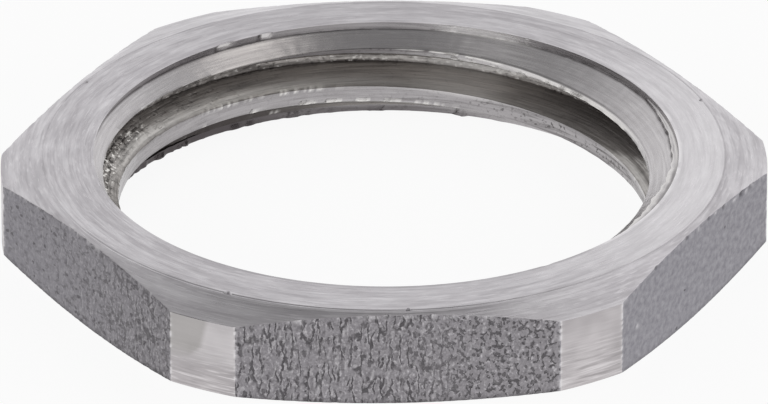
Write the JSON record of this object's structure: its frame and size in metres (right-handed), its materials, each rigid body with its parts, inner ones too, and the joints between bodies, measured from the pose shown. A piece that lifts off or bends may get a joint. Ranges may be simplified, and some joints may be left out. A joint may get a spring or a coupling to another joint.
{
  "type": "lock nut",
  "caption": "Thin hexagonal lock nut in plain steel, turned on both faces and over its corners, with a countersunk fine-threaded hole. Screws onto a threaded neck and clamps against a panel.",
  "frame": {"origin": "on the thread's axis, at the level of the lower bearing face", "axes": "+Z along the thread's axis, up through the nut; two opposite flats face -Y and +Y, two opposite corners lie on -X and +X"},
  "size_m": [0.0208, 0.019, 0.0027],
  "materials": {
    "steel": "turned faces, chamfers and corners with fine ring marks; rough drawn flats; cut thread"
  },
  "bodies": {
    "root": {"lock_nut": "steel"}
  },
  "joints": []
}
